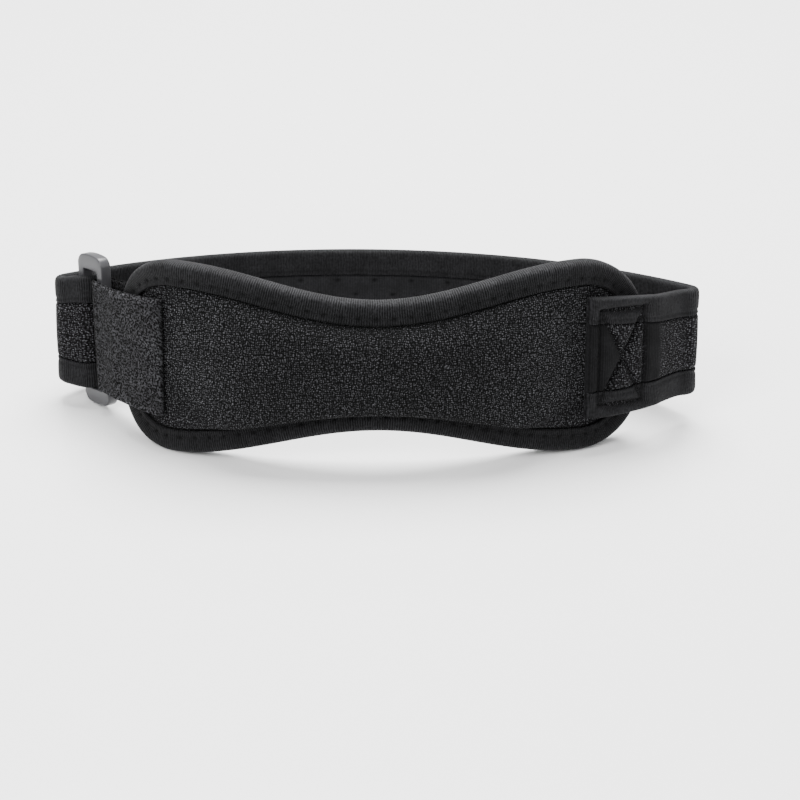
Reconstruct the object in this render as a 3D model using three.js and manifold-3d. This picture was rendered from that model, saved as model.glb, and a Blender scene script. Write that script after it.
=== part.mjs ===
// A patella strap, worn as a loop round the leg just below the knee.
// The padded front has a bound edge. An elastic strap with bound edges is sewn on its right end,
// goes round the back of the leg and is folded round the left bar of a ring buckle.
// A pile tape, sewn on both faces of the pad's left end, is folded round the buckle's right bar.
//
// Millimetres, X to the right, Y to the back, Z up. While the pieces are made, a point has three
// coordinates of the loop: s runs along the middle line of the pad and strap, from the middle of
// the front to the right, t is the distance out from that line, and z is the height over the
// middle of the pad. At the end the loop is laid on the ground, and the origin is under its middle.
import * as THREE from 'three';
import { mergeVertices } from 'three/addons/utils/BufferGeometryUtils.js';
import Module from 'manifold-3d';

const GAP = 0.3; // between two pieces that touch
const ROUNDING = 1e-9; // less than this is nothing

// The loop, seen from above
const LOOP_WIDTH = 195;
const LOOP_DEPTH = 74.7;
const FRONT_RADIUS = 177;
const FOLD_RADIUS = 3.3;
const RIGHT_SHOULDER_RADIUS = -25; // past the pad's right end the strap bends back out
const RIGHT_HEADING = THREE.MathUtils.degToRad(14);
const RIGHT_RUN = 9;
const LEFT_SHOULDER_RADIUS = 37;
const LEFT_HEADING = THREE.MathUtils.degToRad(50);
const TAPE_BRIDGE = 17; // from the left shoulder to the buckle
const FOLD_PAST_BAR = 4.8; // how much further out the left fold lies than the buckle's left bar
const FOLD_BEHIND_BAR = 1;

// Padded front
const FOLD_ROOM = 16; // how much further out each fold lies than the pad's length reaches
const PAD_LENGTH = LOOP_WIDTH - 2 * FOLD_ROOM; // along its curve
const PAD_HEIGHT = 58;
const WAIST_HEIGHT = 39;
const LOBE_RADIUS = 20.5;
const PANEL_THICKNESS = 1.85;
const CUSHION_END = 19.5; // from the pad's ends
const CUSHION_SLOPE = 24; // from its ends to where it is full
const CUSHION_RISE = 7;
const CUSHION_SAG = 5; // how far its lower side hangs down over the binding
const COVER_RIM = 1; // the cover's flat edge outside the cushion is at least this wide

// Bindings, folded over the edges of the pad and of the strap
const PAD_BINDING_WIDTH = 7;
const STRAP_BINDING_WIDTH = 8;
const PAD_BINDING_WALL = 0.85;
const STRAP_BINDING_WALL = 0.8;
const EDGE_INSET = 1.6;
const PAD_BINDING_ROUND = 1.6;
const STRAP_BINDING_ROUND = 1.3;

// Elastic strap
const STRAP_HEIGHT = 33;
const STRAP_THICKNESS = 3.6;
const STRAP_LAP = 20;
const STRAP_DROP = 1; // how far past the pad's end it starts to drop off the pad
const SEWN_FLARE = 2; // how much further each edge reaches at the sewn end
const SLOT_ROOM = 0.4; // under the strap in the buckle's slot
const STRAP_RETURN = 0.8; // past its turn round the bar

// Pile tape
const TAPE_HEIGHT = 34.5;
const TAPE_THICKNESS = 1.6;
const TAPE_LAP = 19.5;
const TAPE_INNER_LAP = 16;
const TAPE_FLARE = 0.8;

// Ring buckle
const RING_WIDTH = 12.6;
const RING_HEIGHT = 47;
const RING_THICKNESS = 3.6;
const RING_BAR = 2.8;
const RING_END = 4.8;
const RING_CROWN = 1.2;
const RING_CORNER = 2.4;
const RING_BEVEL = 0.8;
const RING_LIFT = 0.8; // its middle over the pad's
const RING_LEAN = 0.04; // how far it leans to the left, as a share of the height
const BAR_CLEARANCE = 0.35;

// How deep the bound edges are flattened where the loop lies on them
const PRESS = 0.3;

const wasm = await Module();
wasm.setup();

const smoothstep = (x) => THREE.MathUtils.smoothstep(x, 0, 1);

const PANEL_OUT = GAP / 2 + PANEL_THICKNESS; // each panel's outer face
const PAD_OUT = PANEL_OUT + GAP + PAD_BINDING_WALL; // the pad binding's outer face
const STRAP_OVER_PAD = PAD_OUT + GAP + STRAP_THICKNESS / 2;
const TAPE_OVER_PAD = PAD_OUT + GAP + TAPE_THICKNESS / 2;
const STRAP_WRAP = RING_THICKNESS / 2 + BAR_CLEARANCE + STRAP_THICKNESS / 2;
const TAPE_WRAP = RING_THICKNESS / 2 + BAR_CLEARANCE + TAPE_THICKNESS / 2;

// Each side of the loop, from the middle of the front: an arc, a tighter arc at the shoulder, a
// straight run, the fold, and half of the back's arc. The front arc is as long as it takes for the
// folds to lie LOOP_WIDTH apart. The left run ends in the middle of the buckle's left bar.
const foldX = LOOP_WIDTH / 2 - STRAP_THICKNESS / 2 - FOLD_RADIUS;
const right = sideOfLoop(RIGHT_SHOULDER_RADIUS, RIGHT_HEADING, RIGHT_RUN,
  -FOLD_RADIUS * Math.sin(RIGHT_HEADING), FOLD_RADIUS * Math.cos(RIGHT_HEADING));
const left = sideOfLoop(LEFT_SHOULDER_RADIUS, LEFT_HEADING, TAPE_BRIDGE + RING_WIDTH - RING_BAR / 2,
  FOLD_PAST_BAR, FOLD_BEHIND_BAR);
addLeftFold();
addBack();

// The fold's middle lies foldOut and foldBack from the end of the run.
function sideOfLoop(shoulder, heading, run, foldOut, foldBack) {
  const across = shoulder * Math.sin(heading) + run * Math.cos(heading) + foldOut;
  const frontTurn = Math.asin((foldX - across) / (FRONT_RADIUS - shoulder));
  const foldY = FRONT_RADIUS * (1 - Math.cos(frontTurn))
    + shoulder * (Math.cos(frontTurn) - Math.cos(heading)) + run * Math.sin(heading) + foldBack;
  const stretches = [
    { radius: FRONT_RADIUS, length: FRONT_RADIUS * frontTurn },
    { radius: shoulder, length: shoulder * (heading - frontTurn) },
    { radius: Infinity, length: run },
  ];
  const runEnd = stretches.reduce((sum, stretch) => sum + stretch.length, 0);
  return { foldY, stretches, runEnd, foldStart: runEnd, foldHeading: heading };
}

// Past the buckle the line goes over to the strap, which is straight between its turn round the
// bar and the fold. It touches both rounds.
function addLeftFold() {
  const apart = Math.hypot(FOLD_PAST_BAR, FOLD_BEHIND_BAR);
  const heading = Math.atan2(FOLD_BEHIND_BAR, FOLD_PAST_BAR) + Math.asin((STRAP_WRAP - FOLD_RADIUS) / apart);
  const length = Math.sqrt(apart ** 2 - (STRAP_WRAP - FOLD_RADIUS) ** 2);
  const from = {
    x: foldX - FOLD_PAST_BAR + STRAP_WRAP * Math.sin(heading),
    y: left.foldY - FOLD_BEHIND_BAR - STRAP_WRAP * Math.cos(heading),
    heading,
  };
  left.stretches.push({ radius: Infinity, length, from });
  left.foldStart += length;
  left.foldHeading = heading;
}

// The back is one arc that touches both folds. It reaches LOOP_DEPTH behind the front, so its
// radius is LOOP_DEPTH less its centre's y. That it touches a fold gives y for a centre at x, and
// both folds give the same y.
function addBack() {
  const fits = [right, left].map((side, i) => {
    const x = i === 0 ? foldX : -foldX;
    const reach = LOOP_DEPTH - FOLD_RADIUS;
    return { side, x, scale: 1 / (2 * (side.foldY - reach)), rest: side.foldY ** 2 - reach ** 2 };
  });
  const [atRight, atLeft] = fits;
  const square = atRight.scale - atLeft.scale;
  const linear = -2 * (atRight.scale * atRight.x - atLeft.scale * atLeft.x);
  const constant = atRight.scale * (foldX ** 2 + atRight.rest) - atLeft.scale * (foldX ** 2 + atLeft.rest);
  const centreX = -2 * constant / (linear + Math.sqrt(linear ** 2 - 4 * square * constant));
  const centreY = atRight.scale * ((centreX - foldX) ** 2 + atRight.rest);
  const radius = LOOP_DEPTH - centreY;
  for (const { side, x } of fits) {
    const halfTurn = Math.atan2(Math.abs(x - centreX), side.foldY - centreY);
    const foldTurn = Math.PI - halfTurn - side.foldHeading;
    side.stretches.push({ radius: FOLD_RADIUS, length: FOLD_RADIUS * foldTurn });
    side.stretches.push({ radius, length: radius * halfTurn });
    side.foldEnd = side.foldStart + FOLD_RADIUS * foldTurn;
    side.length = side.foldEnd + radius * halfTurn;
    side.widestAt = side.foldStart + FOLD_RADIUS * (Math.PI / 2 - side.foldHeading);
  }
}

// The point of the plan at s and t, with the direction out of the loop there.
function planPoint(s, t = 0) {
  const mirror = s < 0 ? -1 : 1;
  let rest = Math.abs(s);
  let x = 0;
  let y = 0;
  let heading = 0;
  for (const { radius, length, from } of (s < 0 ? left : right).stretches) {
    if (rest < ROUNDING) {
      break;
    }
    if (from) {
      ({ x, y, heading } = from);
    }
    const step = Math.min(rest, length);
    if (radius === Infinity) {
      x += step * Math.cos(heading);
      y += step * Math.sin(heading);
    } else {
      const turned = heading + step / radius;
      x += radius * (Math.sin(turned) - Math.sin(heading));
      y += radius * (Math.cos(heading) - Math.cos(turned));
      heading = turned;
    }
    rest -= step;
  }
  const out = new THREE.Vector2(mirror * Math.sin(heading), -Math.cos(heading));
  return { point: new THREE.Vector2(mirror * x, y).addScaledVector(out, t), out };
}

function place(s, t, z) {
  const { point } = planPoint(s, t);
  return new THREE.Vector3(point.x, point.y, z);
}

function spread(from, to, steps) {
  return Array.from({ length: steps + 1 }, (_, i) => from + (to - from) * i / steps);
}

// A closed body through rings of equal count. Each ring has its points in space and the same
// points flat, for the end caps. A closed loft joins its last ring to its first and has no caps.
function loft(rings, closed = false) {
  const count = rings[0].points.length;
  const vertices = rings.flatMap((ring) => ring.points);
  const triangles = [];
  for (let i = 0; i < rings.length - (closed ? 0 : 1); i++) {
    const here = i * count;
    const next = ((i + 1) % rings.length) * count;
    for (let j = 0; j < count; j++) {
      const k = (j + 1) % count;
      triangles.push([here + j, here + k, next + k], [here + j, next + k, next + j]);
    }
  }
  if (!closed) {
    // The side faces go round each ring in its own order, so the first cap goes against it.
    for (const [index, first] of [[0, true], [rings.length - 1, false]]) {
      const flat = rings[index].flat;
      const alongOrder = !THREE.ShapeUtils.isClockWise(flat);
      for (const [a, b, c] of THREE.ShapeUtils.triangulateShape(flat, [])) {
        const inOrder = sameTurn(flat, a, b, c) === alongOrder;
        const face = [a, b, c].map((corner) => corner + index * count);
        triangles.push(inOrder === first ? face.reverse() : face);
      }
    }
  }
  return solid(vertices, triangles);
}

function sameTurn(flat, a, b, c) {
  return !THREE.ShapeUtils.isClockWise([flat[a], flat[b], flat[c]]);
}

function solid(vertices, triangles) {
  let volume = 0;
  for (const [a, b, c] of triangles) {
    volume += vertices[a].dot(vertices[b].clone().cross(vertices[c]));
  }
  const outward = volume > 0 ? triangles : triangles.map(([a, b, c]) => [a, c, b]);
  const geometry = new THREE.BufferGeometry().setFromPoints(vertices);
  geometry.setIndex(outward.flat());
  return geometry;
}

// Half the pad's height at s, drawn in from the outline by inset. Between the lobes the outline
// is a cosine wave, and past them a quarter circle.
const LOBE_AT = PAD_LENGTH / 2 - LOBE_RADIUS;
const LOBE_CENTRE = PAD_HEIGHT / 2 - LOBE_RADIUS;

function padHalfHeight(s, inset = 0) {
  const along = Math.abs(s);
  if (along > LOBE_AT) {
    return LOBE_CENTRE + Math.sqrt(Math.max(0, (LOBE_RADIUS - inset) ** 2 - (along - LOBE_AT) ** 2));
  }
  return WAIST_HEIGHT / 2 + waistWave(along).rise - inset * Math.hypot(1, waistWave(along).slope);
}

function waistWave(along) {
  const amplitude = (PAD_HEIGHT - WAIST_HEIGHT) / 4;
  const phase = Math.PI * along / LOBE_AT;
  return {
    rise: amplitude * (1 - Math.cos(phase)),
    slope: amplitude * Math.PI / LOBE_AT * Math.sin(phase),
  };
}

const LOBE_STEPS = 7;
const WAIST_STEPS = 13;

// Values of s along the pad, closer together where its end is round.
function padColumns(inset) {
  const half = [
    ...spread(0, LOBE_AT, WAIST_STEPS),
    ...spread(0, Math.PI / 2, LOBE_STEPS).slice(1)
      .map((angle) => LOBE_AT + (LOBE_RADIUS - inset) * Math.sin(angle)),
  ];
  return [...half.slice(1).reverse().map((s) => -s), ...half];
}

// The pad's outline, anticlockwise from its right end, with the direction into the pad.
function padOutline() {
  const corner = spread(0, Math.PI / 2, LOBE_STEPS).map((angle) => ({
    s: LOBE_AT + LOBE_RADIUS * Math.cos(angle),
    z: LOBE_CENTRE + LOBE_RADIUS * Math.sin(angle),
    inS: -Math.cos(angle),
    inZ: -Math.sin(angle),
  }));
  const waist = spread(LOBE_AT, 0, WAIST_STEPS).slice(1).map((s) => {
    const { slope } = waistWave(s);
    const length = Math.hypot(1, slope);
    return { s, z: padHalfHeight(s), inS: slope / length, inZ: -1 / length };
  });
  const quarter = [...corner, ...waist];
  const flip = ({ s, z, inS, inZ }, across, up) => (
    { s: s * across, z: z * up, inS: inS * across, inZ: inZ * up });
  const topLeft = quarter.slice(0, -1).reverse().map((p) => flip(p, -1, 1));
  const bottomLeft = quarter.map((p) => flip(p, -1, -1));
  const bottomRight = quarter.slice(0, -1).reverse().map((p) => flip(p, 1, -1));
  return [...quarter, ...topLeft, ...bottomLeft, ...bottomRight];
}

// A binding's section: t across it and depth in from the edge, round at the fold.
function bindingSection(outHalf, width, wall, round) {
  const arc = spread(0, Math.PI / 2, 2);
  const rightFold = arc.map((angle) => (
    [outHalf - round + round * Math.cos(angle), round * (1 - Math.sin(angle))]));
  const leftFold = rightFold.map(([t, depth]) => [-t, depth]).reverse();
  return [
    [outHalf, width], ...rightFold, ...leftFold, [-outHalf, width],
    [wall - outHalf, width], [wall - outHalf, wall], [outHalf - wall, wall], [outHalf - wall, width],
  ];
}

function makePadBinding() {
  const section = bindingSection(PAD_OUT, PAD_BINDING_WIDTH, PAD_BINDING_WALL, PAD_BINDING_ROUND);
  return loft(padOutline().map(({ s, z, inS, inZ }) => ({
    points: section.map(([t, depth]) => place(s + inS * depth, t, z + inZ * depth)),
  })), true);
}

function makeInnerPanel() {
  return loft(padColumns(EDGE_INSET).map((s) => {
    const half = padHalfHeight(s, EDGE_INSET);
    const flat = [[-PANEL_OUT, -half], [-GAP / 2, -half], [-GAP / 2, half], [-PANEL_OUT, half]];
    return ringAt(s, flat);
  }));
}

function ringAt(s, flat) {
  return {
    points: flat.map(([t, z]) => place(s, t, z)),
    flat: flat.map(([t, z]) => new THREE.Vector2(t, z)),
  };
}

// How full the cushion is at s, and how far it lifts the cover there. Past its ends the cover
// only rises to the binding.
function cushionAt(s) {
  const along = Math.abs(s);
  const flush = PAD_OUT - PANEL_OUT;
  const inside = PAD_LENGTH / 2 - PAD_BINDING_WIDTH - GAP;
  const cushionEnd = PAD_LENGTH / 2 - CUSHION_END;
  const full = smoothstep((cushionEnd - along) / CUSHION_SLOPE);
  const end = smoothstep((inside - along) / (inside - cushionEnd));
  return { full, rise: flush * end + (CUSHION_RISE - flush) * full };
}

// The front cover, with the cushion under it. Across the pad the cushion is half an ellipse,
// whose lower side is drawn down by a wave, cos squared times sin, with its greatest value 1.
function makeFrontCover() {
  const across = spread(-Math.PI / 2, Math.PI / 2, 10);
  const waveScale = 3 * Math.sqrt(3) / 2;
  return loft(padColumns(EDGE_INSET).map((s) => {
    const edge = padHalfHeight(s, EDGE_INSET);
    const cushion = Math.min(padHalfHeight(s, PAD_BINDING_WIDTH + GAP), edge - COVER_RIM);
    const { full, rise } = cushionAt(s);
    const face = across.map((angle) => {
      const wave = waveScale * Math.cos(angle) ** 2 * Math.min(0, Math.sin(angle));
      return [PANEL_OUT + rise * Math.cos(angle), cushion * Math.sin(angle) + CUSHION_SAG * full * wave];
    });
    return ringAt(s, [[GAP / 2, -edge], [PANEL_OUT, -edge], ...face, [PANEL_OUT, edge], [GAP / 2, edge]]);
  }));
}

// The bars of the buckle that the tape and the strap are folded round, as values of s.
const STRAP_BAR = -left.runEnd;
const TAPE_BAR = STRAP_BAR + RING_WIDTH - RING_BAR;

// 0 where the loop is widest and 1 at the buckle.
function nearBuckle(s) {
  return smoothstep((left.widestAt + s) / (left.widestAt + STRAP_BAR));
}

// A place of a route, at s along the loop and t out of it.
function routePlace(s, t) {
  return { s, point: planPoint(s, t).point };
}

// The place at an angle round one of the buckle's bars, from its front towards the pad.
function roundBar(bar, angle, radius) {
  const { point, out } = planPoint(bar);
  const towardsPad = new THREE.Vector2(-out.y, out.x);
  return {
    s: bar,
    point: point.clone().addScaledVector(towardsPad, radius * Math.sin(angle))
      .addScaledVector(out, radius * Math.cos(angle)),
  };
}

// The strap's route: on the pad's right end, off it, round the back, straight to the buckle's left
// bar and half a turn round that, where it ends inside the loop.
function strapRoute() {
  const lapStart = PAD_LENGTH / 2 - STRAP_LAP;
  const offPad = PAD_LENGTH / 2 + STRAP_DROP;
  const onLoop = (s) => routePlace(s, 0);
  const turnStart = LEFT_HEADING - left.foldHeading;
  return [
    ...spread(lapStart, offPad, 6).map((s) => routePlace(s, STRAP_OVER_PAD)),
    ...spread(0, 1, 6).slice(1).map((share) => routePlace(
      offPad + (right.foldStart - offPad) * share, STRAP_OVER_PAD * (1 - smoothstep(share)))),
    ...spread(right.foldStart, right.foldEnd, 8).slice(1).map(onLoop),
    ...spread(right.foldEnd, right.length, 8).slice(1, -1).map(onLoop),
    ...spread(-left.length, -left.foldEnd, 8).map(onLoop),
    ...spread(-left.foldEnd, -left.foldStart, 8).slice(1).map(onLoop),
    ...spread(-left.foldStart, STRAP_BAR, 4).slice(1, -1).map(onLoop),
    ...spread(turnStart, turnStart + Math.PI, 9).map((angle) => roundBar(STRAP_BAR, angle, STRAP_WRAP)),
    routePlace(STRAP_BAR - STRAP_RETURN, -2 * STRAP_WRAP),
  ];
}

// The tape's route: from the pad's front over the buckle's right bar, and back along its inner face.
function tapeRoute() {
  const padEnd = -PAD_LENGTH / 2;
  return [
    ...spread(padEnd + TAPE_LAP, padEnd, 5).map((s) => routePlace(s, TAPE_OVER_PAD)),
    ...spread(0, 1, 4).slice(1, -1).map((share) => routePlace(
      THREE.MathUtils.lerp(padEnd, TAPE_BAR, share),
      THREE.MathUtils.lerp(TAPE_OVER_PAD, TAPE_WRAP, smoothstep(share)))),
    ...spread(0, -Math.PI, 8).map((angle) => roundBar(TAPE_BAR, angle, TAPE_WRAP)),
    ...spread(0, 1, 4).slice(1).map((share) => routePlace(
      THREE.MathUtils.lerp(TAPE_BAR, padEnd, share),
      -THREE.MathUtils.lerp(TAPE_WRAP, TAPE_OVER_PAD, smoothstep(share)))),
    ...spread(padEnd, padEnd + TAPE_INNER_LAP, 4).slice(1).map((s) => routePlace(s, -TAPE_OVER_PAD)),
  ];
}

// A body along a route, with its section given at each place of the route as [across, z]. It
// leans as the buckle does, by leanAt's share.
function alongRoute(route, sectionAt, leanAt) {
  const { out } = planPoint(STRAP_BAR);
  return loft(route.map(({ s, point }, i) => {
    const before = route[Math.max(i - 1, 0)].point;
    const after = route[Math.min(i + 1, route.length - 1)].point;
    const along = after.clone().sub(before).normalize();
    const flat = sectionAt(s);
    const lean = RING_LEAN * leanAt(s);
    return {
      points: flat.map(([across, z]) => new THREE.Vector3(
        point.x + along.y * across + out.y * lean * z, point.y - along.x * across - out.x * lean * z, z)),
      flat: flat.map(([across, z]) => new THREE.Vector2(across, z)),
    };
  }));
}

// How much the strap leans at s.
function strapLean(s) {
  return s > 0 ? 0 : nearBuckle(s);
}

// Half the strap's height at a place of its route. It widens to its sewn end and to the buckle.
function strapHalfHeight(s) {
  const lapStart = PAD_LENGTH / 2 - STRAP_LAP;
  const buckleFlare = RING_HEIGHT / 2 - RING_END - RING_LIFT - SLOT_ROOM - STRAP_HEIGHT / 2;
  const flare = s > 0
    ? SEWN_FLARE * smoothstep((right.foldStart - s) / (right.foldStart - lapStart))
    : buckleFlare * nearBuckle(s);
  return STRAP_HEIGHT / 2 + flare;
}

function makeStrapCore(route) {
  const thick = STRAP_THICKNESS / 2;
  const thin = thick - STRAP_BINDING_WALL - GAP;
  return alongRoute(route, (s) => {
    const edge = strapHalfHeight(s) - EDGE_INSET;
    const band = strapHalfHeight(s) - STRAP_BINDING_WIDTH - GAP;
    const upper = [[thick, band], [thin, band], [thin, edge], [-thin, edge], [-thin, band], [-thick, band]];
    return [...upper, ...upper.map(([across, z]) => [-across, -z])];
  }, strapLean);
}

function makeStrapBinding(route, up) {
  const section = bindingSection(
    STRAP_THICKNESS / 2, STRAP_BINDING_WIDTH, STRAP_BINDING_WALL, STRAP_BINDING_ROUND);
  return alongRoute(route, (s) => section.map(([across, depth]) => (
    [across, up * (strapHalfHeight(s) - depth)])), strapLean);
}

function makeTape() {
  return alongRoute(tapeRoute(), (s) => {
    const onPad = smoothstep((PAD_LENGTH / 2 + s) / TAPE_LAP);
    const half = TAPE_HEIGHT / 2 + TAPE_FLARE * onPad;
    const thick = TAPE_THICKNESS / 2;
    return [[thick, half], [-thick, half], [-thick, -half], [thick, -half]];
  }, (s) => smoothstep((PAD_LENGTH / 2 + s) / (PAD_LENGTH / 2 + TAPE_BAR)));
}

// An upright outline with round corners and ends that are arched by crown.
function uprightShape(path, width, height, corner, crown) {
  const x = width / 2;
  const shoulder = height / 2 - crown - corner;
  const cornerEnd = shoulder + corner + crown * corner / x;
  const arch = height / 2 + crown * corner / x;
  path.moveTo(x, -shoulder);
  path.lineTo(x, shoulder);
  path.quadraticCurveTo(x, shoulder + corner, x - corner, cornerEnd);
  path.quadraticCurveTo(0, arch, corner - x, cornerEnd);
  path.quadraticCurveTo(-x, shoulder + corner, -x, shoulder);
  path.lineTo(-x, -shoulder);
  path.quadraticCurveTo(-x, -shoulder - corner, corner - x, -cornerEnd);
  path.quadraticCurveTo(0, -arch, x - corner, -cornerEnd);
  path.quadraticCurveTo(x, -shoulder - corner, x, -shoulder);
  return path;
}

function makeRing() {
  const shape = uprightShape(new THREE.Shape(), RING_WIDTH, RING_HEIGHT, RING_CORNER, RING_CROWN);
  const slotWidth = RING_WIDTH - 2 * RING_BAR;
  const slotHeight = RING_HEIGHT - 2 * RING_END;
  shape.holes.push(uprightShape(new THREE.Path(), slotWidth, slotHeight, RING_BEVEL, 0));
  const geometry = new THREE.ExtrudeGeometry(shape, {
    depth: RING_THICKNESS - 2 * RING_BEVEL,
    bevelThickness: RING_BEVEL,
    bevelSize: RING_BEVEL,
    bevelOffset: -RING_BEVEL,
    bevelSegments: 2,
    curveSegments: 4,
  });
  geometry.translate(0, 0, RING_BEVEL - RING_THICKNESS / 2);
  const { point, out } = planPoint((STRAP_BAR + TAPE_BAR) / 2);
  const position = geometry.getAttribute('position');
  for (let i = 0; i < position.count; i++) {
    const up = position.getY(i) + RING_LIFT;
    const across = position.getX(i) - RING_LEAN * up;
    const through = position.getZ(i);
    position.setXYZ(i, point.x - out.y * across + out.x * through,
      point.y + out.x * across + out.y * through, up);
  }
  geometry.deleteAttribute('normal');
  geometry.deleteAttribute('uv');
  return mergeVertices(geometry);
}

const matter = (color, roughness) => new THREE.MeshStandardMaterial({ color, roughness, metalness: 0 });
const strap = strapRoute();
const pieces = [
  ['inner_panel', makeInnerPanel(), matter(0x1d1d20, 0.9)],
  ['front_cover', makeFrontCover(), matter(0x222226, 0.95)],
  ['pad_binding', makePadBinding(), matter(0x29292d, 0.8)],
  ['strap_core', makeStrapCore(strap), matter(0x1f1f22, 0.95)],
  ['strap_binding_top', makeStrapBinding(strap, 1), matter(0x29292d, 0.8)],
  ['strap_binding_bottom', makeStrapBinding(strap, -1), matter(0x29292d, 0.8)],
  ['closure_tape', makeTape(), matter(0x3a3a3f, 1)],
  ['buckle_ring', makeRing(), matter(0x3c3c40, 0.3)],
];

const geometryOf = (name) => pieces.find(([pieceName]) => pieceName === name)[1];

function lowestPoint(geometry, counts = () => true) {
  const position = geometry.getAttribute('position');
  const point = new THREE.Vector3();
  const lowest = new THREE.Vector3(0, 0, Infinity);
  for (let i = 0; i < position.count; i++) {
    point.fromBufferAttribute(position, i);
    if (point.z < lowest.z && counts(point)) {
      lowest.copy(point);
    }
  }
  return lowest;
}

// The loop lies on both lobes of the pad and on the back of the strap. This turns it until the
// plane through the lowest points of the three is level. They change as it turns, so it repeats.
function turnToRest() {
  const upright = new THREE.Vector3(0, 0, 1);
  for (let i = 0; i < 8; i++) {
    const leftLobe = lowestPoint(geometryOf('pad_binding'), ({ x }) => x < 0);
    const rightLobe = lowestPoint(geometryOf('pad_binding'), ({ x }) => x > 0);
    const back = lowestPoint(geometryOf('strap_binding_bottom'), ({ y }) => y > LOOP_DEPTH / 2);
    const normal = rightLobe.sub(leftLobe).cross(back.sub(leftLobe)).normalize();
    const turn = new THREE.Quaternion().setFromUnitVectors(normal, upright);
    for (const [, geometry] of pieces) {
      geometry.applyQuaternion(turn);
    }
  }
}

function toManifold(geometry) {
  return new wasm.Manifold(new wasm.Mesh({
    numProp: 3,
    vertProperties: new Float32Array(geometry.getAttribute('position').array),
    triVerts: new Uint32Array(geometry.index.array),
  }));
}

function fromManifold(manifold) {
  const { vertProperties, triVerts } = manifold.getMesh();
  const geometry = new THREE.BufferGeometry();
  geometry.setAttribute('position', new THREE.BufferAttribute(vertProperties, 3));
  geometry.setIndex(new THREE.BufferAttribute(triVerts, 1));
  return geometry;
}

// Lays the loop down, flattens the bound edges that touch the ground, and centres it.
function layDown() {
  turnToRest();
  const ground = Math.min(...pieces.map(([, geometry]) => lowestPoint(geometry).z)) + PRESS;
  const below = new THREE.BoxGeometry(2 * LOOP_WIDTH, 4 * LOOP_DEPTH, 2 * PAD_HEIGHT);
  below.translate(0, 0, ground - PAD_HEIGHT);
  below.deleteAttribute('normal');
  below.deleteAttribute('uv');
  const floor = toManifold(mergeVertices(below));
  for (const piece of pieces) {
    if (lowestPoint(piece[1]).z < ground) {
      piece[1] = fromManifold(toManifold(mergeVertices(piece[1])).subtract(floor));
    }
  }
  const box = new THREE.Box3();
  for (const [, geometry] of pieces) {
    geometry.computeBoundingBox();
    box.union(geometry.boundingBox);
  }
  const middle = box.getCenter(new THREE.Vector3());
  for (const [, geometry] of pieces) {
    geometry.translate(-middle.x, -middle.y, -box.min.z);
  }
}

layDown();

const patellaStrap = new THREE.Group();
for (const [name, geometry, material] of pieces) {
  const mesh = new THREE.Mesh(geometry, material);
  mesh.name = name;
  patellaStrap.add(mesh);
}

export default patellaStrap;
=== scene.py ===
from math import asin, atan2, cos, inf, pi, radians, sin, sqrt

import bpy
import numpy as np
from mathutils import Matrix, Vector


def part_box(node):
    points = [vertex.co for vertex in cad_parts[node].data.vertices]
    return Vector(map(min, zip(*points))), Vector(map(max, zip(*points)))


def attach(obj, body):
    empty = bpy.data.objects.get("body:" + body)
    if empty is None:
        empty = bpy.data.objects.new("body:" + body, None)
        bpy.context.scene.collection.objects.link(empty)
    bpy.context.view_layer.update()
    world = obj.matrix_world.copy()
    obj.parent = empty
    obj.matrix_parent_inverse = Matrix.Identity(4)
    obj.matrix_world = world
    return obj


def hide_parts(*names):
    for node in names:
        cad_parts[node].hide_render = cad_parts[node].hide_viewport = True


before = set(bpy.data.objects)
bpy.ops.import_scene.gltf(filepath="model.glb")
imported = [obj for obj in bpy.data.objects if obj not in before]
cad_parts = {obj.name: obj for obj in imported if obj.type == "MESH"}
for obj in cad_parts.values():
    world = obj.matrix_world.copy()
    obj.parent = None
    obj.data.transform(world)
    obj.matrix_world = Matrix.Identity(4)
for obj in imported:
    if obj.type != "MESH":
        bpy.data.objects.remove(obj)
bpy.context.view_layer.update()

MM = 0.001

# The sizes of the model, in mm, under the names that its source gives them.
GAP = 0.3
ROUNDING = 1e-9
LOOP_WIDTH = 195
LOOP_DEPTH = 74.7
FRONT_RADIUS = 177
FOLD_RADIUS = 3.3
RIGHT_SHOULDER_RADIUS = -25
RIGHT_HEADING = radians(14)
RIGHT_RUN = 9
LEFT_SHOULDER_RADIUS = 37
LEFT_HEADING = radians(50)
TAPE_BRIDGE = 17
FOLD_PAST_BAR = 4.8
FOLD_BEHIND_BAR = 1
FOLD_ROOM = 16
PAD_LENGTH = LOOP_WIDTH - 2 * FOLD_ROOM
PAD_HEIGHT = 58
WAIST_HEIGHT = 39
LOBE_RADIUS = 20.5
PANEL_THICKNESS = 1.85
CUSHION_END = 19.5
CUSHION_SLOPE = 24
CUSHION_RISE = 7
CUSHION_SAG = 5
COVER_RIM = 1
PAD_BINDING_WIDTH = 7
STRAP_BINDING_WIDTH = 8
PAD_BINDING_WALL = 0.85
STRAP_BINDING_WALL = 0.8
EDGE_INSET = 1.6
PAD_BINDING_ROUND = 1.6
STRAP_BINDING_ROUND = 1.3
STRAP_HEIGHT = 33
STRAP_THICKNESS = 3.6
STRAP_LAP = 20
STRAP_DROP = 1
SEWN_FLARE = 2
SLOT_ROOM = 0.4
STRAP_RETURN = 0.8
TAPE_HEIGHT = 34.5
TAPE_THICKNESS = 1.6
TAPE_LAP = 19.5
TAPE_INNER_LAP = 16
TAPE_FLARE = 0.8
RING_WIDTH = 12.6
RING_HEIGHT = 47
RING_THICKNESS = 3.6
RING_BAR = 2.8
RING_END = 4.8
RING_CROWN = 1.2
RING_CORNER = 2.4
RING_BEVEL = 0.8
RING_EDGE_ROUND = 0.45
RING_LIFT = 0.8
RING_LEAN = 0.04
BAR_CLEARANCE = 0.35

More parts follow.
